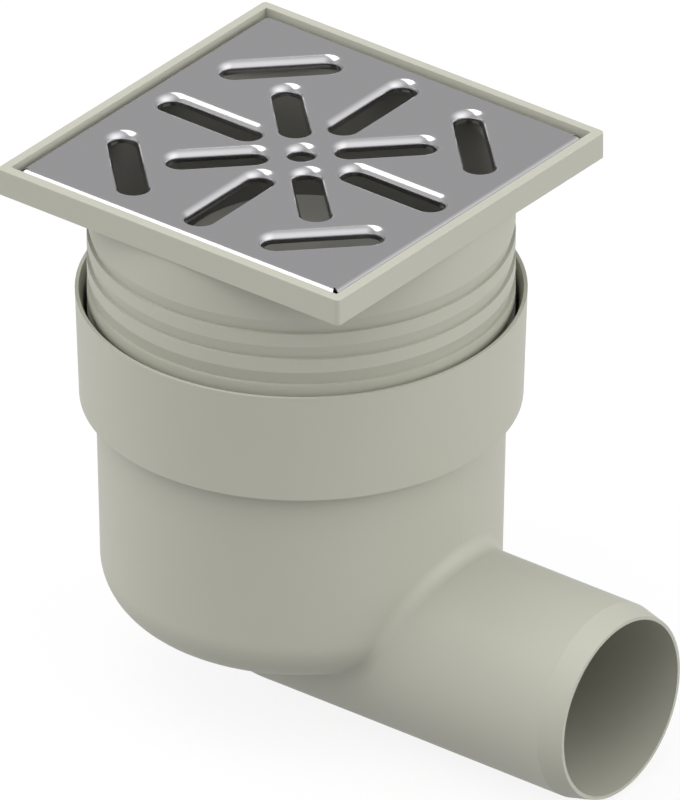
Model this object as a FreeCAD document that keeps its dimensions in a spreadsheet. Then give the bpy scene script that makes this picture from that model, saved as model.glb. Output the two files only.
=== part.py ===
import FreeCAD, Part
import os

import Sketcher
from FreeCAD import Placement, Rotation, Vector

# Gully trap with a square floor frame, a height-adjustable riser and a side outlet.
# Millimetres, +Z up. The origin is on the drain's vertical axis at finished floor level,
# and the outlet points along +X.

SIZES = {
    # Floor frame, the top of the riser
    "frame_side": 105.0,
    "frame_height": 7.0,
    "frame_corner_radius": 1.2,
    "rim_width": 2.5,
    "rim_round": 0.3,
    "recess_depth": 4.5,
    "ledge_width": 2.0,             # narrowest part of the ledge that carries the grate
    # Neck, the round lower part of the riser
    "neck_inset": 0.45,             # neck wall inside the frame's side
    "neck_wall": 2.6,
    "neck_lead_in": 1.0,
    "riser_gap": 7.5,               # neck's end above the collar's shoulder at this height
    "step_drop": 21.77,             # floor level to the first ledge
    "step_pitch": 7.1,
    "step_taper": 3.55,
    "step_depth": 0.9,
    "step_count": 4,
    # Rubber lip seal in its groove near the neck's end
    "seal_foot": 2.4,               # neck's end to the groove
    "seal_groove_height": 5.0,
    "seal_groove_depth": 1.3,
    "seal_bead": 0.4,               # the ring's back stands this far out of its groove
    "seal_lip_tip": 0.5,
    "seal_side_clearance": 0.1,
    "fit_clearance": 0.05,
    # Collar that takes the neck
    "collar_drop": 37.92,           # floor level to the collar's rim
    "collar_height": 28.95,
    "collar_clearance": 1.0,        # neck to the collar's bore
    "collar_rim_wall": 1.95,
    "collar_foot_wall": 1.03,
    "mouth_flare": 1.05,
    "mouth_depth": 3.0,
    "shoulder_thickness": 1.8,
    # Pot
    "pot_step": 4.03,               # pot inside the collar's foot
    "pot_draft": 1.17,
    "pot_height": 57.5,
    "pot_wall": 1.8,
    "pot_foot_radius": 13.2,
    # Outlet spigot
    "spigot_radius": 25.0,
    "spigot_wall": 2.4,
    "spigot_reach": 98.4,
    "spigot_lift": 3.13,            # its axis above the pot's underside
    "spigot_draft": 0.12,           # gain in radius from the socket run to the heel
    "socket_run": 37.0,             # exact stretch that goes into the pipe's socket
    "spigot_lead_in": 6.3,
    "spigot_lead_depth": 1.5,
    "spigot_root_radius": 3.5,
    # Standpipe inside the pot
    "standpipe_radius": 22.0,
    "standpipe_wall": 1.8,
    "standpipe_height": 79.4,
    # Bell over the standpipe
    "bell_radius": 31.2,
    "bell_wall": 1.5,
    "bell_draft": 0.6,
    "bell_edge_radius": 2.0,
    "bell_headroom": 12.2,          # standpipe's rim to the underside of the bell's top
    "skirt_clearance": 3.5,         # skirt's edge above the spigot's crown
    "rib_thickness": 1.6,
    "rib_length": 34.0,
    "rib_count": 4,
    "guide_clearance": 0.3,
    # Grate pressed from one sheet
    "sheet": 1.0,
    "grate_drop": 0.67,             # its face below the frame's rim
    "grate_clearance": 2.0,
    "fold_radius": 2.2,
    "notch_length": 1.6,
    "notch_width": 1.1,
    "slot_width": 6.8,
    "straight_slot_start": 13.3,
    "straight_slot_end": 43.0,
    "diagonal_slot_start": 8.5,
    "diagonal_slot_end": 32.7,
    "corner_slot_distance": 42.2,
    "corner_slot_length": 29.1,
    "slot_count": 4,                # in each of the three rings
    "centre_hole": 6.2,
    "lip_round": 2.24,
    "lip_wall": 0.6,
}

ROOT_OF_TWO = 2.0 ** 0.5
HALF_QUARTER_TURN = 45.0
FULL_TURN = 360.0
TOUCH = 1e-4
PARTS_FOLDER = "parts"


class Size:
    # A length that knows its number and the sheet formula that gives it.
    def __init__(self, value, formula):
        self.value = value
        self.formula = formula

    def joined(self, sign, other, value):
        return Size(value, "(%s %s %s)" % (self.formula, sign, formula_of(other)))

    def __add__(self, other):
        return self.joined("+", other, self.value + value_of(other))

    def __sub__(self, other):
        return self.joined("-", other, self.value - value_of(other))

    def __mul__(self, other):
        return self.joined("*", other, self.value * value_of(other))

    def __truediv__(self, other):
        return self.joined("/", other, self.value / value_of(other))

    def __neg__(self):
        return Size(-self.value, "(-%s)" % self.formula)


def value_of(size):
    return size.value if isinstance(size, Size) else float(size)


def formula_of(size):
    return size.formula if isinstance(size, Size) else repr(float(size))


class Sheet:
    # The driving sizes, each read as a Size by its name.
    def __init__(self, doc):
        cells = doc.addObject("Spreadsheet::Sheet", "Sizes")
        for row, (name, value) in enumerate(SIZES.items(), start=1):
            cells.set("A%d" % row, name)
            cells.set("B%d" % row, str(value))
            cells.setAlias("B%d" % row, name)
            setattr(self, name, Size(value, "Sizes." + name))


doc = FreeCAD.newDocument("gully_trap")
s = Sheet(doc)
doc.recompute()

# Floor frame and neck
floor_level = Size(0.0, "0.0")
frame_half = s.frame_side / 2
recess_half = frame_half - s.rim_width
throat_radius = recess_half - s.ledge_width
neck_radius = frame_half - s.neck_inset
neck_bore = neck_radius - s.neck_wall

# Collar, from its rim down to the shoulder
collar_rim_z = -s.collar_drop
collar_foot_z = collar_rim_z - s.collar_height
shoulder_z = collar_foot_z + s.shoulder_thickness
collar_bore = neck_radius + s.collar_clearance
collar_rim_radius = collar_bore + s.collar_rim_wall
collar_foot_radius = collar_bore + s.collar_foot_wall
neck_end_z = shoulder_z + s.riser_gap
groove_low_z = neck_end_z + s.seal_foot
groove_floor = neck_radius - s.seal_groove_depth

# Pot and outlet
pot_low_z = collar_foot_z - s.pot_height
pot_top_radius = collar_foot_radius - s.pot_step
pot_low_radius = pot_top_radius - s.pot_draft
pot_floor_z = pot_low_z + s.pot_wall
spigot_z = pot_low_z + s.spigot_lift
spigot_bore = s.spigot_radius - s.spigot_wall
spigot_root = s.spigot_radius + s.spigot_draft
spigot_tip = s.spigot_radius - s.spigot_lead_depth

# Standpipe and bell
standpipe_bore = s.standpipe_radius - s.standpipe_wall
standpipe_rim_z = pot_floor_z + s.standpipe_height
bell_ceiling_z = standpipe_rim_z + s.bell_headroom
bell_top_z = bell_ceiling_z + s.bell_wall
skirt_z = spigot_z + spigot_root + s.skirt_clearance
skirt_radius = s.bell_radius + s.bell_draft

# Grate
grate_half = recess_half - s.grate_clearance
grate_top_z = -s.grate_drop
grate_under_z = grate_top_z - s.sheet
grate_height = s.recess_depth - s.grate_drop
slot_half = s.slot_width / 2
lip_drop = s.lip_round + s.lip_wall


def origin_item(body, role):
    return next(item for item in body.Origin.OriginFeatures if item.Role == role)


def new_body(name):
    body = doc.addObject("PartDesign::Body", name)
    body.Label = name
    return body


def new_sketch(body, name, plane, turn=None, **shift):
    # shift moves the sketch along its own x, y or z by a Size
    sketch = body.newObject("Sketcher::SketchObject", name)
    sketch.AttachmentSupport = (origin_item(body, plane), [""])
    sketch.MapMode = "FlatFace"
    sketch.AttachmentOffset = Placement(Vector(), turn or Rotation())
    for axis, size in shift.items():
        sketch.setExpression("AttachmentOffset.Base." + axis, size.formula)
    return sketch


def bind(sketch, index, name, size):
    sketch.renameConstraint(index, name)
    sketch.setExpression("Constraints." + name, formula_of(size))


def pin(sketch, geometry, end, x, y, name):
    # Holds one point at (x, y) from the sketch's origin.
    for kind, axis, size in (("DistanceX", -2, x), ("DistanceY", -1, y)):
        if value_of(size) == 0.0:
            sketch.addConstraint(Sketcher.Constraint("PointOnObject", geometry, end, axis))
        else:
            rule = Sketcher.Constraint(kind, -1, 1, geometry, end, value_of(size))
            bind(sketch, sketch.addConstraint(rule), "%s_%s" % (name, kind[-1].lower()), size)


def draw_line(sketch, start, end):
    ends = [Vector(value_of(x), value_of(y), 0) for x, y in (start, end)]
    return sketch.addGeometry(Part.LineSegment(*ends), False)


def draw_arc(sketch, centre, radius, start_angle, end_angle):
    circle = Part.Circle(Vector(*centre, 0), Vector(0, 0, 1), radius)
    angles = [FreeCAD.Units.Quantity(angle, "deg").getValueAs("rad").Value
              for angle in (start_angle, end_angle)]
    return sketch.addGeometry(Part.ArcOfCircle(circle, *angles), False)


def join_ends(sketch, kind, count):
    for side in range(count):
        follower = (side + 1) % count
        sketch.addConstraint(Sketcher.Constraint(kind, side, 2, follower, 1))


def outline(body, name, plane, corners, turn=None, **shift):
    # A closed outline of straight sides.
    sketch = new_sketch(body, name, plane, turn, **shift)
    for number, corner in enumerate(corners):
        draw_line(sketch, corner, corners[(number + 1) % len(corners)])
    join_ends(sketch, "Coincident", len(corners))
    for number, (x, y) in enumerate(corners):
        pin(sketch, number, 1, x, y, "corner%d" % number)
    return sketch


def square(body, name, half, **shift):
    corners = [(-half, -half), (half, -half), (half, half), (-half, half)]
    return outline(body, name, "XY_Plane", corners, **shift)


def slot_outline(body, name, start, end, radius, turn, **shift):
    # A slot with round ends along the sketch's x, between two centres.
    (x0, y0), (x1, y1) = start, end
    left, right = value_of(x0), value_of(x1)
    low, high = value_of(y0) - value_of(radius), value_of(y0) + value_of(radius)
    sketch = new_sketch(body, name, "XY_Plane", turn, **shift)
    draw_arc(sketch, (right, value_of(y1)), value_of(radius), -90, 90)
    draw_line(sketch, (right, high), (left, high))
    draw_arc(sketch, (left, value_of(y0)), value_of(radius), 90, 270)
    draw_line(sketch, (left, low), (right, low))
    join_ends(sketch, "Tangent", 4)
    rule = Sketcher.Constraint("Radius", 0, value_of(radius))
    bind(sketch, sketch.addConstraint(rule), "end_radius", radius)
    pin(sketch, 0, 3, x1, y1, "far_centre")
    pin(sketch, 2, 3, x0, y0, "near_centre")
    return sketch


def round_outline(body, name, radius, **shift):
    sketch = new_sketch(body, name, "XY_Plane", **shift)
    circle = Part.Circle(Vector(), Vector(0, 0, 1), radius.value)
    sketch.addGeometry(circle, False)
    sketch.addConstraint(Sketcher.Constraint("Coincident", 0, 3, -1, 1))
    rule = Sketcher.Constraint("Radius", 0, radius.value)
    bind(sketch, sketch.addConstraint(rule), "hole_radius", radius)
    return sketch


def heeled_outline(body, name, profile):
    # Half section of a pipe core along the outlet's axis: a round heel under the standpipe,
    # then the profile's points (x, radius) from the heel's crown to the open end.
    heel = profile[0][1]
    reach = profile[-1][0]
    r, far = heel.value, reach.value
    sketch = new_sketch(body, name, "XZ_Plane", y=spigot_z)
    draw_arc(sketch, (0, 0), r, 90, 180)
    draw_line(sketch, (-r, 0), (far, 0))
    draw_line(sketch, (far, 0), profile[-1])
    for start, end in zip(profile[:0:-1], profile[-2::-1]):
        draw_line(sketch, start, end)
    join_ends(sketch, "Coincident", len(profile) + 2)
    sketch.addConstraint(Sketcher.Constraint("Coincident", 0, 3, -1, 1))
    sketch.addConstraint(Sketcher.Constraint("PointOnObject", 0, 1, -2))
    sketch.addConstraint(Sketcher.Constraint("PointOnObject", 0, 2, -1))
    rule = Sketcher.Constraint("Radius", 0, r)
    bind(sketch, sketch.addConstraint(rule), "heel_radius", heel)
    pin(sketch, 2, 1, reach, 0.0, "end_face")
    for number, (x, radius) in enumerate(profile[:0:-1], start=3):
        pin(sketch, number, 1, x, radius, "profile%d" % number)
    return sketch


def outlet_outline(body, name):
    # The outlet's outside: drafted from the heel to the socket run, straight along it, then tapered.
    socket_end = s.spigot_reach - s.spigot_lead_in
    profile = [
        (0.0, spigot_root),
        (socket_end - s.socket_run, s.spigot_radius),
        (socket_end, s.spigot_radius),
        (s.spigot_reach, spigot_tip),
    ]
    return heeled_outline(body, name, profile)


def finish_feature(body, feature):
    body.Tip = feature
    doc.recompute()
    return feature


def turn_solid(body, name, sketch, cut=False, axis="V_Axis"):
    kind = "PartDesign::Groove" if cut else "PartDesign::Revolution"
    feature = body.newObject(kind, name)
    feature.Profile = sketch
    feature.ReferenceAxis = (sketch, [axis])
    feature.Angle = FULL_TURN
    return finish_feature(body, feature)


def pad(body, name, sketch, length, downwards=False, both_sides=False):
    feature = body.newObject("PartDesign::Pad", name)
    feature.Profile = sketch
    feature.setExpression("Length", formula_of(length))
    feature.Reversed = downwards
    feature.Midplane = both_sides
    return finish_feature(body, feature)


def pocket(body, name, sketch, depth, upwards=False):
    feature = body.newObject("PartDesign::Pocket", name)
    feature.Profile = sketch
    feature.setExpression("Length", formula_of(depth))
    feature.Reversed = upwards
    return finish_feature(body, feature)


def ring_of(body, name, originals, count):
    feature = body.newObject("PartDesign::PolarPattern", name)
    feature.Originals = originals
    feature.Axis = (origin_item(body, "Z_Axis"), [""])
    feature.Angle = FULL_TURN
    feature.setExpression("Occurrences", formula_of(count))
    return finish_feature(body, feature)


def round_edges(body, name, base, radius, chosen):
    names = ["Edge%d" % number for number, edge in enumerate(base.Shape.Edges, start=1)
             if chosen(edge)]
    feature = body.newObject("PartDesign::Fillet", name)
    feature.Base = (base, names)
    feature.setExpression("Radius", formula_of(radius))
    return finish_feature(body, feature)


def lies_at(edge, height):
    box = edge.BoundBox
    return abs(box.ZMin - height.value) < TOUCH and abs(box.ZMax - height.value) < TOUCH


def reach_of(edge):
    box = edge.BoundBox
    return max(abs(box.XMin), abs(box.XMax), abs(box.YMin), abs(box.YMax))


def is_circle(edge, radius, height):
    return lies_at(edge, height) and abs(reach_of(edge) - radius.value) < TOUCH


def points_on(edge):
    return edge.discretize(Number=9)


def make_water_space():
    # The space inside the collar and the pot, with the standpipe and the spigot's crown left out.
    # It is the moulding core that the gully's body is hollowed with.
    body = new_body("water_space")
    wall_top = pot_top_radius - s.pot_wall
    wall_low = pot_low_radius - s.pot_wall
    corners = [
        (0, pot_floor_z),
        (wall_low, pot_floor_z),
        (wall_top, shoulder_z),
        (collar_bore, shoulder_z),
        (collar_bore, collar_rim_z - s.mouth_depth),
        (collar_bore + s.mouth_flare, collar_rim_z),
        (0, collar_rim_z),
    ]
    space = turn_solid(body, "space", outline(body, "space_section", "XZ_Plane", corners))
    round_edges(body, "floor_round", space, s.pot_foot_radius - s.pot_wall,
                lambda edge: is_circle(edge, wall_low, pot_floor_z))
    crown = outlet_outline(body, "crown_section")
    turn_solid(body, "outlet_crown", crown, cut=True, axis="H_Axis")
    corners = [
        (0, pot_floor_z),
        (s.standpipe_radius, pot_floor_z),
        (s.standpipe_radius, standpipe_rim_z),
        (0, standpipe_rim_z),
    ]
    section = outline(body, "standpipe_section", "XZ_Plane", corners)
    turn_solid(body, "standpipe", section, cut=True)
    return body


def on_outlet_root(edge):
    # Where the outlet's outside meets the pot's outside.
    for point in points_on(edge):
        height = point.z - spigot_z.value
        behind = min(point.x, 0.0)
        off_axis = (point.y ** 2 + height ** 2 + behind ** 2) ** 0.5
        across = (point.x ** 2 + point.y ** 2) ** 0.5
        on_pot = across < pot_top_radius.value + TOUCH and point.z > pot_low_z.value - TOUCH
        on_outlet = s.spigot_radius.value < off_axis < spigot_root.value + TOUCH
        if not (on_outlet and on_pot):
            return False
    return True


def make_gully_body():
    core = make_water_space()
    body = new_body("gully_body")
    corners = [
        (0, pot_low_z),
        (pot_low_radius, pot_low_z),
        (pot_top_radius, collar_foot_z),
        (collar_foot_radius, collar_foot_z),
        (collar_rim_radius, collar_rim_z),
        (0, collar_rim_z),
    ]
    section = outline(body, "vessel_section", "XZ_Plane", corners)
    vessel = turn_solid(body, "vessel_outside", section)
    round_edges(body, "pot_foot_round", vessel, s.pot_foot_radius,
                lambda edge: is_circle(edge, pot_low_radius, pot_low_z))
    section = outlet_outline(body, "outlet_section")
    outlet = turn_solid(body, "outlet_outside", section, axis="H_Axis")
    round_edges(body, "outlet_root_round", outlet, s.spigot_root_radius, on_outlet_root)
    hollow = body.newObject("PartDesign::Boolean", "hollow")
    hollow.Type = "Cut"
    hollow.setObjects([core])
    finish_feature(body, hollow)
    section = heeled_outline(body, "bore_section",
                             [(0.0, spigot_bore), (s.spigot_reach, spigot_bore)])
    turn_solid(body, "outlet_bore", section, cut=True, axis="H_Axis")
    corners = [
        (0, spigot_z),
        (standpipe_bore, spigot_z),
        (standpipe_bore, standpipe_rim_z),
        (0, standpipe_rim_z),
    ]
    section = outline(body, "standpipe_bore_section", "XZ_Plane", corners)
    turn_solid(body, "standpipe_bore", section, cut=True)
    return body


def make_bell_trap():
    body = new_body("bell_trap")
    ceiling_radius = s.bell_radius - s.bell_wall
    corners = [
        (0, bell_ceiling_z),
        (ceiling_radius, bell_ceiling_z),
        (skirt_radius - s.bell_wall, skirt_z),
        (skirt_radius, skirt_z),
        (s.bell_radius, bell_top_z),
        (0, bell_top_z),
    ]
    shell = turn_solid(body, "bell_shell", outline(body, "bell_section", "XZ_Plane", corners))
    shell = round_edges(body, "bell_edge_round", shell, s.bell_edge_radius,
                        lambda edge: is_circle(edge, s.bell_radius, bell_top_z))
    guide_radius = s.standpipe_radius + s.guide_clearance
    rib_root = ceiling_radius + s.bell_wall / 2
    rib_low_z = bell_ceiling_z - s.rib_length
    corners = [
        (standpipe_bore, standpipe_rim_z),
        (guide_radius, standpipe_rim_z),
        (guide_radius, rib_low_z),
        (rib_root, rib_low_z),
        (rib_root, bell_ceiling_z + s.bell_wall / 2),
        (standpipe_bore, bell_ceiling_z + s.bell_wall / 2),
    ]
    turn = Rotation(Vector(0, 1, 0), HALF_QUARTER_TURN)
    section = outline(body, "rib_section", "XZ_Plane", corners, turn)
    rib = pad(body, "rib", section, s.rib_thickness, both_sides=True)
    ring_of(body, "ribs", [rib], s.rib_count)
    return body


def make_riser_frame():
    body = new_body("riser_frame")
    plate = pad(body, "frame_plate", square(body, "frame_section", frame_half),
                s.frame_height, downwards=True)
    plate = round_edges(body, "frame_corners", plate, s.frame_corner_radius,
                        lambda edge: edge.BoundBox.ZLength > s.frame_height.value / 2)
    round_edges(body, "rim_edge_round", plate, s.rim_round,
                lambda edge: lies_at(edge, floor_level))
    corners = [
        (0, neck_end_z),
        (neck_radius - s.neck_lead_in, neck_end_z),
        (neck_radius, neck_end_z + s.neck_lead_in),
        (neck_radius, -s.frame_height),
        (0, -s.frame_height),
    ]
    turn_solid(body, "neck", outline(body, "neck_section", "XZ_Plane", corners))
    ledge_z = -s.step_drop
    outer = neck_radius + s.step_depth
    corners = [
        (neck_radius - s.step_depth, ledge_z),
        (outer, ledge_z),
        (outer, ledge_z + s.step_taper),
        (neck_radius, ledge_z + s.step_taper),
    ]
    section = outline(body, "step_section", "XZ_Plane", corners)
    step = turn_solid(body, "step", section, cut=True)
    steps = body.newObject("PartDesign::LinearPattern", "steps")
    steps.Originals = [step]
    steps.Direction = (section, ["V_Axis"])
    steps.Reversed = True
    steps.setExpression("Length", (s.step_pitch * (s.step_count - 1)).formula)
    steps.setExpression("Occurrences", s.step_count.formula)
    finish_feature(body, steps)
    corners = [
        (groove_floor, groove_low_z),
        (outer, groove_low_z),
        (outer, groove_low_z + s.seal_groove_height),
        (groove_floor, groove_low_z + s.seal_groove_height),
    ]
    section = outline(body, "seal_groove_section", "XZ_Plane", corners)
    turn_solid(body, "seal_groove", section, cut=True)
    pocket(body, "grate_recess", square(body, "recess_section", recess_half), s.recess_depth)
    corners = [
        (0, neck_end_z),
        (neck_bore, neck_end_z),
        (neck_bore, -s.frame_height),
        (throat_radius, -s.frame_height),
        (throat_radius, -s.recess_depth),
        (0, -s.recess_depth),
    ]
    section = outline(body, "throat_section", "XZ_Plane", corners)
    turn_solid(body, "throat", section, cut=True)
    return body


def make_riser_seal():
    body = new_body("riser_seal")
    back = groove_floor + s.fit_clearance
    face = neck_radius + s.seal_bead
    lip = collar_bore - s.fit_clearance
    low = groove_low_z + s.seal_side_clearance
    high = groove_low_z + s.seal_groove_height - s.seal_side_clearance
    half_height = (high - low) / 2
    middle = low + half_height
    corners = [
        (back, low),
        (neck_radius, low),
        (lip, middle - s.seal_lip_tip),
        (lip, middle),
        (face, middle),
        (lip, high - s.seal_lip_tip),
        (lip, high),
        (neck_radius, high),
        (back, high),
    ]
    turn_solid(body, "lip_ring", outline(body, "seal_section", "XZ_Plane", corners))
    return body


def make_lipped_slots(body, name, start, end, turn):
    # One slot with its turned-down lip, and its copies round the centre.
    boss = slot_outline(body, name + "_lip_section", start, end, slot_half + s.sheet, turn,
                        z=grate_under_z)
    boss = pad(body, name + "_lip", boss, lip_drop - s.sheet, downwards=True)
    hole = slot_outline(body, name + "_hole_section", start, end, slot_half, turn,
                        z=grate_top_z)
    hole = pocket(body, name + "_hole", hole, lip_drop)
    return ring_of(body, name + "s", [boss, hole], s.slot_count)


def make_grate_plate():
    body = new_body("grate_plate")
    block = pad(body, "blank", square(body, "blank_section", grate_half, z=grate_top_z),
                grate_height, downwards=True)
    block = round_edges(body, "fold_outside", block, s.fold_radius,
                        lambda edge: lies_at(edge, grate_top_z))
    inner_half = grate_half - s.sheet
    under = square(body, "under_section", inner_half, z=-s.recess_depth)
    under = pocket(body, "underside", under, grate_height - s.sheet, upwards=True)
    round_edges(body, "fold_inside", under, s.fold_radius - s.sheet,
                lambda edge: lies_at(edge, grate_under_z))
    turn = Rotation(Vector(0, 0, 1), HALF_QUARTER_TURN)
    corner = grate_half * ROOT_OF_TWO
    corners = [
        (corner - s.notch_length, 0),
        (corner + s.notch_length, -s.notch_width),
        (corner + s.notch_length, s.notch_width),
    ]
    notch = outline(body, "notch_section", "XY_Plane", corners, turn, z=grate_top_z)
    notch = pocket(body, "corner_notch", notch, grate_height)
    ring_of(body, "corner_notches", [notch], s.slot_count)

    make_lipped_slots(body, "straight_slot", (s.straight_slot_start + slot_half, 0),
                      (s.straight_slot_end - slot_half, 0), Rotation())
    make_lipped_slots(body, "diagonal_slot", (s.diagonal_slot_start + slot_half, 0),
                      (s.diagonal_slot_end - slot_half, 0), turn)
    corner_slot_half = s.corner_slot_length / 2 - slot_half
    across = Rotation(Vector(0, 0, 1), -HALF_QUARTER_TURN)
    make_lipped_slots(body, "corner_slot", (-corner_slot_half, s.corner_slot_distance),
                      (corner_slot_half, s.corner_slot_distance), across)
    hole_radius = s.centre_hole / 2
    boss = round_outline(body, "centre_lip_section", hole_radius + s.sheet, z=grate_under_z)
    pad(body, "centre_lip", boss, lip_drop - s.sheet, downwards=True)
    hole = round_outline(body, "centre_hole_section", hole_radius, z=grate_top_z)
    pierced = pocket(body, "centre_hole", hole, lip_drop)

    flat_reach = (grate_half - s.fold_radius).value - TOUCH
    rolled = round_edges(body, "lip_rounds", pierced, s.lip_round,
                         lambda edge: lies_at(edge, grate_top_z) and reach_of(edge) < flat_reach)
    round_edges(body, "lip_roots", rolled, s.lip_round - s.sheet,
                lambda edge: lies_at(edge, grate_under_z) and reach_of(edge) < flat_reach)
    return body


def check_document():
    for item in doc.Objects:
        if {"Invalid", "Error"} & set(item.State):
            raise RuntimeError("%s did not build: %s" % (item.Label, item.State))


def write_parts(bodies):
    os.makedirs(PARTS_FOLDER, exist_ok=True)
    for body in bodies:
        shape = body.Shape
        if shape.isNull() or not shape.isValid() or len(shape.Solids) != 1:
            raise RuntimeError("%s is not one valid solid" % body.Label)
        shape.exportStep(os.path.join(PARTS_FOLDER, body.Label + ".step"))
        print("%s: %.0f mm3, %d faces" % (body.Label, shape.Volume, len(shape.Faces)))


sub_parts = [
    make_gully_body(),
    make_bell_trap(),
    make_riser_frame(),
    make_riser_seal(),
    make_grate_plate(),
]
doc.recompute()
check_document()
write_parts(sub_parts)
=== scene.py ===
import bpy
import math
from mathutils import Matrix, Vector


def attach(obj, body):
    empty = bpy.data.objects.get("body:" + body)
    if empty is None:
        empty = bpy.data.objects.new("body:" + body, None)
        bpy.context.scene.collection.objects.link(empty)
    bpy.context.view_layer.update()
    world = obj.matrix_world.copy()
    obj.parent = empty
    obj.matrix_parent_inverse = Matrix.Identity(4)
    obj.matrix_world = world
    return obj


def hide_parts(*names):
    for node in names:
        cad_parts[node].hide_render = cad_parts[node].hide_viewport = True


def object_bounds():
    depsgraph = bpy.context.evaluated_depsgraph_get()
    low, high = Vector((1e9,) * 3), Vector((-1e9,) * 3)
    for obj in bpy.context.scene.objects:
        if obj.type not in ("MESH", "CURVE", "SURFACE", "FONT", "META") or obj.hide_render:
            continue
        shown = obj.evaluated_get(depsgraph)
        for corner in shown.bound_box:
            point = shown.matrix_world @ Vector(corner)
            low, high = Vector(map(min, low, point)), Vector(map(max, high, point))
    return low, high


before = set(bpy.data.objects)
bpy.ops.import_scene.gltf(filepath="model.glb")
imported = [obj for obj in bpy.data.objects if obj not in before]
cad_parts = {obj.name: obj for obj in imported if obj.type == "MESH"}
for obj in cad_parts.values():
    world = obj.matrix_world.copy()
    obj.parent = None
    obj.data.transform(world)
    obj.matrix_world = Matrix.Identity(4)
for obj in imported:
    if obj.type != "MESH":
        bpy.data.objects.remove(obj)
cadLow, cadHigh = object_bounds()
print("frame loaded, lowest", tuple(cadLow), "highest", tuple(cadHigh))

scene = bpy.context.scene
scene.view_settings.view_transform = "Standard"

# Camera: the photo has no perspective at all, so the lens is very long and the camera far off
cameraView = {
    "azimuth": 38.03,               # degrees round from the front
    "elevation": 30.05,             # degrees above the horizon
    "lens": 1400.0,                 # mm
    "sensor": 36.0,                 # mm, along the picture's long side
    "pixelsPerMetre": 4130.2,       # at the drain's axis
    "photoSize": (680, 800),        # pixels
    "axisPixel": (301.14, 149.61),  # where the frame's origin lies on the photo
    "clipShares": (0.01, 3.0),      # nearest and farthest it sees, as shares of its distance
}


def makeCamera(look):
    turn, tilt = math.radians(look["azimuth"]), math.radians(look["elevation"])
    level = math.cos(tilt)
    back = Vector((math.sin(turn) * level, -math.cos(turn) * level, math.sin(tilt)))
    right = Vector((math.cos(turn), math.sin(turn), 0))
    up = back.cross(right)
    wide, tall = look["photoSize"]
    axisRight, axisDown = look["axisPixel"]
    metresRight = (wide / 2 - axisRight) / look["pixelsPerMetre"]
    metresUp = (axisDown - tall / 2) / look["pixelsPerMetre"]
    distance = tall * look["lens"] / (look["sensor"] * look["pixelsPerMetre"])
    data = bpy.data.cameras.new("photoCamera")
    data.lens, data.sensor_width = look["lens"], look["sensor"]
    data.clip_start, data.clip_end = [distance * share for share in look["clipShares"]]
    camera = bpy.data.objects.new("photoCamera", data)
    scene.collection.objects.link(camera)
    camera.location = right * metresRight + up * metresUp + back * distance
    camera.rotation_mode = "QUATERNION"
    camera.rotation_quaternion = back.to_track_quat("Z", "Y")
    scene.camera = camera


makeCamera(cameraView)
print("camera placed")

# Node helpers, for materials, the world and the grate alike
pureWhite = (1.0, 1.0, 1.0, 1.0)
mixFirst, mixSecond, mixResult = 6, 7, 2    # colour sockets of a Mix node
quarterTurn = math.pi / 2
eighthTurn = math.pi / 4


def feed(tree, node, inputs):
    # A socket is linked, and any other value is set on the node's own socket
    for socket, value in inputs.items():
        if isinstance(value, bpy.types.NodeSocket):
            tree.links.new(value, node.inputs[socket])
        else:
            node.inputs[socket].default_value = value
    return node


def addNode(tree, kind, inputs=None, **settings):
    node = tree.nodes.new(kind)
    for name, value in settings.items():
        setattr(node, name, value)
    return feed(tree, node, inputs or {})


def calc(tree, operation, *values):
    return addNode(tree, "ShaderNodeMath", dict(enumerate(values)), operation=operation).outputs[0]


def at(tree, x=0.0, y=0.0, z=0.0):
    return addNode(tree, "ShaderNodeCombineXYZ", {0: x, 1: y, 2: z}).outputs[0]


def startMaterial(name):
    material = bpy.data.materials.new(name)
    material.use_nodes = True
    tree = material.node_tree
    tree.nodes.clear()
    shader = addNode(tree, "ShaderNodeBsdfPrincipled")
    addNode(tree, "ShaderNodeOutputMaterial", {"Surface": shader.outputs["BSDF"]})
    return material, tree, shader


def linearColour(red, green, blue):
    # 0-255 as seen on a screen, to the linear values that a shader takes
    def channel(value):
        value = value / 255
        return value / 12.92 if value <= 0.04045 else ((value + 0.055) / 1.055) ** 2.4
    return (channel(red), channel(green), channel(blue), 1.0)


def objectPlace(tree):
    return addNode(tree, "ShaderNodeTexCoord").outputs["Object"]


def texture(tree, place, scale, detail, roughness=0.5):
    noise = {"Vector": place, "Scale": scale, "Detail": detail, "Roughness": roughness}
    return addNode(tree, "ShaderNodeTexNoise", noise).outputs["Fac"]


def between(tree, factor, low, high):
    ends = {"Value": factor, "To Min": low, "To Max": high}
    return addNode(tree, "ShaderNodeMapRange", ends).outputs["Result"]


def blended(tree, factor, first, second):
    inputs = {"Factor": factor, mixFirst: first, mixSecond: second}
    return addNode(tree, "ShaderNodeMix", inputs, data_type="RGBA").outputs[mixResult]


def bumped(tree, height, distance):
    inputs = {"Strength": 1.0, "Distance": distance, "Height": height}
    return addNode(tree, "ShaderNodeBump", inputs).outputs["Normal"]


# Moulded plastic: satin, warm light grey, with a fine spark-eroded grain and faint flow clouds, and
# painted shade on the walls within the pot and neck
plasticLook = {
    "colour": linearColour(179, 179, 167),
    "cloudColour": linearColour(175, 175, 162),
    "cloudScale": 28.0,
    "cloudDetail": 3.0,
    "insideShadeColour": linearColour(158, 157, 150),    # painted shade: the inner walls are drawn darker for the shade that falls in the pot and neck
    "insideShadeRadius": 0.0467,         # nearer to the axis than this the painted shade begins
    "insideShadeFloor": -0.112,          # and above this height
    "grainScale": 2600.0,
    "grainDetail": 2.0,
    "grainRoughness": 0.6,
    "grainHeight": 0.000004,
    "roughness": (0.42, 0.52),
    "specular": 0.42,
}
riserLook = {**plasticLook, "insideShadeRadius": 0.0497}    # the neck's bore is wider than the pot's, so the painted shade reaches further out


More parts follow.
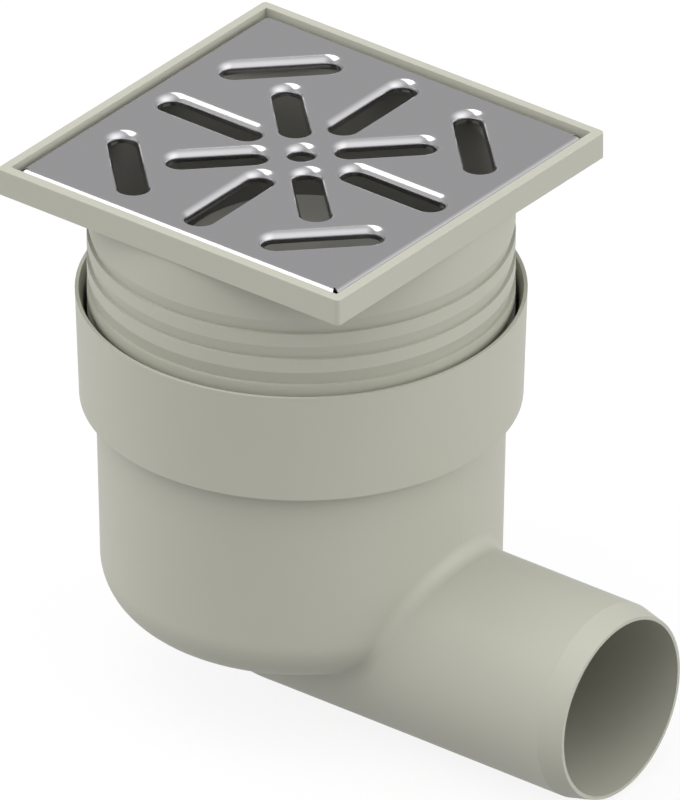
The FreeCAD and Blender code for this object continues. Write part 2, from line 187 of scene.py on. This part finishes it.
def plasticMaterial(name, look):
    material, tree, shader = startMaterial(name)
    place = objectPlace(tree)
    clouds = texture(tree, place, look["cloudScale"], look["cloudDetail"])
    outside = blended(tree, clouds, look["colour"], look["cloudColour"])
    spot = addNode(tree, "ShaderNodeSeparateXYZ", {0: place}).outputs
    squares = [calc(tree, "MULTIPLY", spot[axis], spot[axis]) for axis in ("X", "Y")]
    reach = calc(tree, "SQRT", calc(tree, "ADD", *squares))
    # painted shade: within the bore and above the floor the colour is darker, standing in for shade
    shadedInside = calc(tree, "MULTIPLY", calc(tree, "LESS_THAN", reach, look["insideShadeRadius"]),
                  calc(tree, "GREATER_THAN", spot["Z"], look["insideShadeFloor"]))
    grain = texture(tree, place, look["grainScale"], look["grainDetail"], look["grainRoughness"])
    feed(tree, shader, {
        "Base Color": blended(tree, shadedInside, outside, look["insideShadeColour"]),
        "Roughness": between(tree, grain, *look["roughness"]),
        "Normal": bumped(tree, grain, look["grainHeight"]),
        "Specular IOR Level": look["specular"],
    })
    return material


# Bright-rolled stainless sheet with faint rolling lines
steelLook = {
    "colour": linearColour(203, 202, 204),
    "metallic": 1.0,
    "lineStretch": (900.0, 14.0, 14.0),
    "lineScale": 1.0,
    "lineDetail": 4.0,
    "lineRoughness": 0.6,
    "lineHeight": 0.0000006,
    "roughness": (0.16, 0.2),
}


def steelMaterial(name, look):
    material, tree, shader = startMaterial(name)
    stretch = {"Vector": objectPlace(tree), "Scale": look["lineStretch"]}
    stretched = addNode(tree, "ShaderNodeMapping", stretch).outputs["Vector"]
    lines = texture(tree, stretched, look["lineScale"], look["lineDetail"], look["lineRoughness"])
    feed(tree, shader, {
        "Base Color": look["colour"],
        "Metallic": look["metallic"],
        "Roughness": between(tree, lines, *look["roughness"]),
        "Normal": bumped(tree, lines, look["lineHeight"]),
    })
    return material


# Black rubber of the lip ring
rubberLook = {
    "colour": linearColour(34, 34, 33),
    "bloomScale": 180.0,
    "bloomDetail": 3.0,
    "roughness": (0.55, 0.7),
}


def rubberMaterial(name, look):
    material, tree, shader = startMaterial(name)
    bloom = texture(tree, objectPlace(tree), look["bloomScale"], look["bloomDetail"])
    feed(tree, shader, {
        "Base Color": look["colour"],
        "Roughness": between(tree, bloom, *look["roughness"]),
    })
    return material


plastic = plasticMaterial("mouldedPlastic", plasticLook)
riserPlastic = plasticMaterial("riserPlastic", riserLook)
steel = steelMaterial("brightSteel", steelLook)
rubber = rubberMaterial("sealRubber", rubberLook)
wornBy = {
    "gully_body": plastic,
    "bell_trap": plastic,
    "riser_frame": riserPlastic,
    "riser_seal": rubber,
    "grate_plate": steel,
}
for node, material in wornBy.items():
    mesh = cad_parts[node].data
    mesh.materials.clear()
    mesh.materials.append(material)
print("materials on")

# Grate pressed from one sheet: twelve slots and a hole with rolled lips, four folded sides
grateSheet = {
    "Plate Half": 0.0489,
    "Face Height": -0.00067,
    "Sheet": 0.001,
    "Fold Radius": 0.0018,
    "Fold Depth": 0.00383,
    "Lip Radius": 0.00224,
    "Lip Depth": 0.00284,
    "Seam": 0.00015,            # flat strip that starts each rolled edge
    "Slot Width": 0.0068,
    "Straight Start": 0.0133,
    "Straight End": 0.043,
    "Diagonal Start": 0.0085,
    "Diagonal End": 0.0327,
    "Corner Distance": 0.0422,
    "Corner Length": 0.0291,
    "Centre Hole": 0.0062,
    "Notch Reach": 0.06628,     # axis to the point of the V-notch
    "Notch Slope": 0.4,
}
grateMesh = {
    "bendPoints": 15,
    "endPoints": 16,
    "weld": 0.000008,
    "wedge": 0.003,             # radius of the three-sided wedge that cuts a notch
    "wedgeTall": 0.012,
    "sharpAngle": 0.6,          # radians, the least bend that shows as a crease
    "slotEndShare": 0.4998,     # a hair under half the width, so that two end bends never overlap
}


def moved(tree, geometry, place=(0, 0, 0), turn=(0, 0, 0), scale=(1, 1, 1)):
    inputs = {"Geometry": geometry, "Translation": place, "Rotation": turn, "Scale": scale}
    return addNode(tree, "GeometryNodeTransform", inputs).outputs[0]


def joined(tree, *parts):
    join = addNode(tree, "GeometryNodeJoinGeometry")
    for part in parts:
        tree.links.new(part, join.inputs[0])
    return join.outputs[0]


def welded(tree, geometry):
    inputs = {"Geometry": geometry, "Distance": grateMesh["weld"]}
    return addNode(tree, "GeometryNodeMergeByDistance", inputs).outputs[0]


def flipped(tree, geometry):
    return addNode(tree, "GeometryNodeFlipFaces", {0: geometry}).outputs[0]


def run(tree, start, end):
    return addNode(tree, "GeometryNodeCurvePrimitiveLine", {"Start": start, "End": end}).outputs[0]


def rectangle(tree, wide, tall):
    inputs = {"Width": wide, "Height": tall}
    return addNode(tree, "GeometryNodeCurvePrimitiveQuadrilateral", inputs).outputs[0]


def rolledEdge(tree, size, radius, depth):
    # Section of a rolled edge of the sheet, x outwards and y down: from the flat, round and back
    seam, sheet = size["Seam"], size["Sheet"]
    outer = calc(tree, "ADD", seam, radius)
    inner = calc(tree, "SUBTRACT", outer, sheet)
    parts = []
    for bend in (radius, calc(tree, "SUBTRACT", radius, sheet)):
        arc = addNode(tree, "GeometryNodeCurveArc", {
            "Resolution": grateMesh["bendPoints"], "Radius": bend,
            "Start Angle": -quarterTurn, "Sweep Angle": quarterTurn}).outputs[0]
        parts.append(moved(tree, arc, at(tree, seam, radius)))
    parts.append(run(tree, at(tree), at(tree, seam)))
    parts.append(run(tree, at(tree, outer, radius), at(tree, outer, depth)))
    parts.append(run(tree, at(tree, outer, depth), at(tree, inner, depth)))
    parts.append(run(tree, at(tree, inner, depth), at(tree, inner, radius)))
    parts.append(run(tree, at(tree, seam, sheet), at(tree, 0.0, sheet)))
    edges = addNode(tree, "GeometryNodeCurveToMesh", {"Curve": joined(tree, *parts)}).outputs[0]
    return addNode(tree, "GeometryNodeMeshToCurve", {"Mesh": welded(tree, edges)}).outputs[0]


def slotLine(tree, size, length, width):
    # Where the flat sheet ends and the lip of one slot begins
    margin = calc(tree, "MULTIPLY", calc(tree, "ADD", size["Lip Radius"], size["Seam"]), 2.0)
    long, wide = calc(tree, "ADD", length, margin), calc(tree, "ADD", width, margin)
    bend = calc(tree, "MULTIPLY", calc(tree, "MINIMUM", long, wide), grateMesh["slotEndShare"])
    inputs = {"Curve": rectangle(tree, long, wide), "Radius": bend,
              "Count": grateMesh["endPoints"], "Limit Radius": True}
    return addNode(tree, "GeometryNodeFilletCurve", inputs, mode="POLY").outputs[0]


def swept(tree, line, section):
    level = addNode(tree, "GeometryNodeSetCurveNormal", {"Curve": line}, mode="Z_UP").outputs[0]
    inputs = {"Curve": level, "Profile Curve": section}
    return addNode(tree, "GeometryNodeCurveToMesh", inputs).outputs[0]


def fourRound(tree, geometry):
    # Four copies round the axis, a quarter turn apart
    points = addNode(tree, "GeometryNodePoints", {"Count": 4}).outputs[0]
    turned = calc(tree, "MULTIPLY", addNode(tree, "GeometryNodeInputIndex").outputs[0], quarterTurn)
    inputs = {"Points": points, "Instance": geometry, "Rotation": at(tree, z=turned)}
    copies = addNode(tree, "GeometryNodeInstanceOnPoints", inputs).outputs[0]
    return addNode(tree, "GeometryNodeRealizeInstances", {0: copies}).outputs[0]


def shaded(tree, geometry, smooth):
    inputs = {"Geometry": geometry, "Shade Smooth": smooth}
    return addNode(tree, "GeometryNodeSetShadeSmooth", inputs).outputs[0]


def radialSlot(tree, size, start, end):
    length = calc(tree, "SUBTRACT", size[end], size[start])
    middle = calc(tree, "MULTIPLY", calc(tree, "ADD", size[end], size[start]), 0.5)
    return moved(tree, slotLine(tree, size, length, size["Slot Width"]), at(tree, middle))


def foldedSides(tree, size, flatHalf):
    # One side is swept along a line of any length, then its ends are set on the plate's diagonals
    section = moved(tree, rolledEdge(tree, size, size["Fold Radius"], size["Fold Depth"]),
                    at(tree, flatHalf))
    side = swept(tree, run(tree, (0, -1, 0), (0, 1, 0)), section)
    position = addNode(tree, "GeometryNodeInputPosition").outputs[0]
    reach = addNode(tree, "ShaderNodeSeparateXYZ", {0: position}).outputs
    mitre = calc(tree, "MULTIPLY", calc(tree, "SIGN", reach["Y"]), reach["X"])
    inputs = {"Geometry": side, "Position": at(tree, reach["X"], mitre, reach["Z"])}
    mitred = addNode(tree, "GeometryNodeSetPosition", inputs).outputs[0]
    return fourRound(tree, flipped(tree, mitred))


def notched(tree, size, plate):
    # V-notch at each corner, where two folded sides meet, cut by the point of a wedge
    reach = grateMesh["wedge"]
    inputs = {"Vertices": 3, "Radius": reach, "Depth": grateMesh["wedgeTall"]}
    wedge = addNode(tree, "GeometryNodeMeshCylinder", inputs).outputs[0]
    ownSlope = math.tan(math.pi / 6)    # half the wedge's point, 30 degrees
    spread = calc(tree, "DIVIDE", size["Notch Slope"], ownSlope)
    wedge = moved(tree, wedge, at(tree, calc(tree, "ADD", size["Notch Reach"], reach)),
                  (0, 0, math.pi), at(tree, 1.0, spread, 1.0))
    wedges = fourRound(tree, moved(tree, wedge, turn=(0, 0, eighthTurn)))
    return addNode(tree, "GeometryNodeMeshBoolean", {"Mesh 1": plate, "Mesh 2": wedges},
                   operation="DIFFERENCE", solver="MANIFOLD").outputs[0]


def grateTree(names):
    tree = bpy.data.node_groups.new("pressedGrate", "GeometryNodeTree")
    plugs = tree.interface
    plugs.new_socket(name="Geometry", in_out="OUTPUT", socket_type="NodeSocketGeometry")
    for name in names:
        plugs.new_socket(name=name, in_out="INPUT", socket_type="NodeSocketFloat")
    plugs.new_socket(name="Steel", in_out="INPUT", socket_type="NodeSocketMaterial")
    given = addNode(tree, "NodeGroupInput")
    size = {name: given.outputs[name] for name in names}

    straight = radialSlot(tree, size, "Straight Start", "Straight End")
    diagonal = radialSlot(tree, size, "Diagonal Start", "Diagonal End")
    corner = moved(tree, slotLine(tree, size, size["Slot Width"], size["Corner Length"]),
                   at(tree, size["Corner Distance"]))
    turn = (0, 0, eighthTurn)
    diagonal, corner = [moved(tree, line, turn=turn) for line in (diagonal, corner)]
    hole = slotLine(tree, size, size["Centre Hole"], size["Centre Hole"])
    slots = joined(tree, fourRound(tree, joined(tree, straight, diagonal, corner)), hole)
    lipSection = rolledEdge(tree, size, size["Lip Radius"], size["Lip Depth"])
    lips = swept(tree, slots, moved(tree, lipSection, scale=(-1, 1, 1)))

    rolledIn = calc(tree, "ADD", size["Fold Radius"], size["Seam"])
    flatHalf = calc(tree, "SUBTRACT", size["Plate Half"], rolledIn)
    flatSide = calc(tree, "MULTIPLY", flatHalf, 2.0)
    outline = joined(tree, rectangle(tree, flatSide, flatSide), slots)
    top = addNode(tree, "GeometryNodeFillCurve", {"Curve": outline}, mode="TRIANGLES").outputs[0]
    down = at(tree, z=calc(tree, "MULTIPLY", size["Sheet"], -1.0))
    flats = shaded(tree, joined(tree, top, moved(tree, flipped(tree, top), down)), False)
    rolls = shaded(tree, joined(tree, lips, foldedSides(tree, size, flatHalf)), True)
    plate = moved(tree, welded(tree, joined(tree, flats, rolls)), at(tree, z=size["Face Height"]))

    cut = notched(tree, size, plate)
    bend = addNode(tree, "GeometryNodeInputMeshEdgeAngle").outputs[0]
    sharp = calc(tree, "GREATER_THAN", bend, grateMesh["sharpAngle"])
    inputs = {"Geometry": cut, "Selection": sharp, "Shade Smooth": False}
    creased = addNode(tree, "GeometryNodeSetShadeSmooth", inputs, domain="EDGE").outputs[0]
    real = addNode(tree, "GeometryNodeRealizeInstances", {0: creased}).outputs[0]
    inputs = {"Geometry": real, "Material": given.outputs["Steel"]}
    worn = addNode(tree, "GeometryNodeSetMaterial", inputs).outputs[0]
    addNode(tree, "NodeGroupOutput", {"Geometry": worn})
    return tree


def grown(name, tree, values):
    # The tree's result as a plain mesh
    piece = bpy.data.objects.new(name, bpy.data.meshes.new(name + "Seed"))
    scene.collection.objects.link(piece)
    modifier = piece.modifiers.new("grow", "NODES")
    modifier.node_group = tree
    for item in tree.interface.items_tree:
        if item.in_out == "INPUT":
            modifier[item.identifier] = values[item.name]
    graph = bpy.context.evaluated_depsgraph_get()
    mesh = bpy.data.meshes.new_from_object(piece.evaluated_get(graph))
    piece.modifiers.clear()
    piece.data = mesh
    mesh.name = name
    return piece


grate = grown("pressedGrate", grateTree(list(grateSheet)), {**grateSheet, "Steel": steel})
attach(grate, "riser")
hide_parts("grate_plate")
print("grate pressed,", len(grate.data.polygons), "faces")

# Floor, world and lamp. A light or glow in a list has the way it lies and how bright it is
studio = {
    "floorSize": 6.0,
    "floorColour": (0.9, 0.9, 0.9, 1.0),    # as the camera sees it
    "floorBounce": (0.35, 0.35, 0.35, 1.0),  # as it lights the drain
    "floorRoughness": 0.9,
    "floorSpecular": 0.1,
    "floorShadowShare": 0.12,    # how much of the shadow the camera sees
    "softness": 10.0,            # how sharp each soft light is
    "softLights": (((0.9, 0.35, 0.3), 4.9), ((-1.0, -0.2, 0.2), 3.03), ((0.2, -0.6, 0.75), 2.16),
                   ((-0.4, -0.9, 0.25), 1.66), ((0.0, 0.0, 1.0), 1.6), ((-0.2, 0.97, 0.2), 1.08),
                   ((0.7, -0.1, 0.7), 0.34)),
    # what steel mirrors: a plain wall, and two glows on it that also say how sharp they are
    "wallTone": 0.49,
    "wallGlows": (((0.882, 0.043, 0.469), 1.05, 2.3), ((-0.6, -0.73, 0.33), 0.17, 12.0)),
    "panelAim": (-0.375, -0.2, 0.905),    # middle of the lamp panel overhead
    "panelAlong": (0.05, 1.0, 0.0),       # the way its long side runs
    "panelDistance": 3.0,
    "panelSize": (4.0, 1.75),
    "panelRadiance": 2.2,
}


def raysNow(tree):
    # What looks: the camera, straight or through something, and a mirror
    rays = addNode(tree, "ShaderNodeLightPath").outputs
    seen = calc(tree, "MAXIMUM", rays["Is Camera Ray"], rays["Is Transmission Ray"])
    return seen, rays["Is Glossy Ray"]


def mixed(tree, factor, first, second):
    inputs = {0: factor, 1: first, 2: second}
    return addNode(tree, "ShaderNodeMixShader", inputs).outputs["Shader"]


def makeFloor(look, height):
    half = look["floorSize"] / 2
    sides = ((-half, -half), (half, -half), (half, half), (-half, half))
    mesh = bpy.data.meshes.new("floor")
    mesh.from_pydata([(x, y, height) for x, y in sides], [], [(0, 1, 2, 3)])
    floor = bpy.data.objects.new("floor", mesh)
    scene.collection.objects.link(floor)
    material, tree, shader = startMaterial("paleFloor")
    seen, mirrored = raysNow(tree)
    feed(tree, shader, {
        "Base Color": blended(tree, seen, look["floorBounce"], look["floorColour"]),
        "Roughness": look["floorRoughness"],
        "Specular IOR Level": look["floorSpecular"],
    })
    glow = addNode(tree, "ShaderNodeEmission", {"Color": pureWhite, "Strength": 1.0}).outputs[0]
    looking = calc(tree, "MAXIMUM", seen, mirrored)
    share = calc(tree, "MULTIPLY", looking, 1 - look["floorShadowShare"])
    shown = mixed(tree, share, shader.outputs["BSDF"], glow)
    feed(tree, tree.get_output_node("ALL"), {"Surface": shown})
    mesh.materials.append(material)


def withGlows(tree, tone, glows):
    # A plain tone with round glows added to it
    way = addNode(tree, "ShaderNodeTexCoord").outputs["Generated"]
    for aim, strength, sharpness in glows:
        inputs = {0: way, 1: Vector(aim).normalized()}
        along = addNode(tree, "ShaderNodeVectorMath", inputs, operation="DOT_PRODUCT")
        near = calc(tree, "MAXIMUM", along.outputs["Value"], 0.0)
        tone = calc(tree, "MULTIPLY_ADD", calc(tree, "POWER", near, sharpness), strength, tone)
    return tone


def makeWorld(look):
    world = bpy.data.worlds.new("studioWorld")
    world.use_nodes = True
    tree = world.node_tree
    tree.nodes.clear()
    softGlows = [(aim, strength, look["softness"]) for aim, strength in look["softLights"]]
    light = withGlows(tree, 0.0, softGlows)
    wall = withGlows(tree, look["wallTone"], look["wallGlows"])
    soft, backdrop, white = [
        addNode(tree, "ShaderNodeBackground", {"Color": pureWhite, "Strength": tone}).outputs[0]
        for tone in (light, wall, 1.0)]
    seen, mirrored = raysNow(tree)
    shown = mixed(tree, seen, mixed(tree, mirrored, soft, backdrop), white)
    addNode(tree, "ShaderNodeOutputWorld", {"Surface": shown})
    scene.world = world


def makePanel(look):
    aim = Vector(look["panelAim"]).normalized()
    across = aim.cross(Vector(look["panelAlong"])).normalized()
    data = bpy.data.lights.new("lampPanel", "AREA")
    data.shape = "ELLIPSE"
    data.size, data.size_y = look["panelSize"]
    area = math.pi * data.size * data.size_y / 4
    data.energy = look["panelRadiance"] * math.pi * area
    lamp = bpy.data.objects.new("lampPanel", data)
    scene.collection.objects.link(lamp)
    lamp.matrix_world = Matrix((across.cross(aim), across, aim)).transposed().to_4x4()
    lamp.location = aim * look["panelDistance"]


makeFloor(studio, cadLow.z)
makeWorld(studio)
makePanel(studio)
print("studio lit")
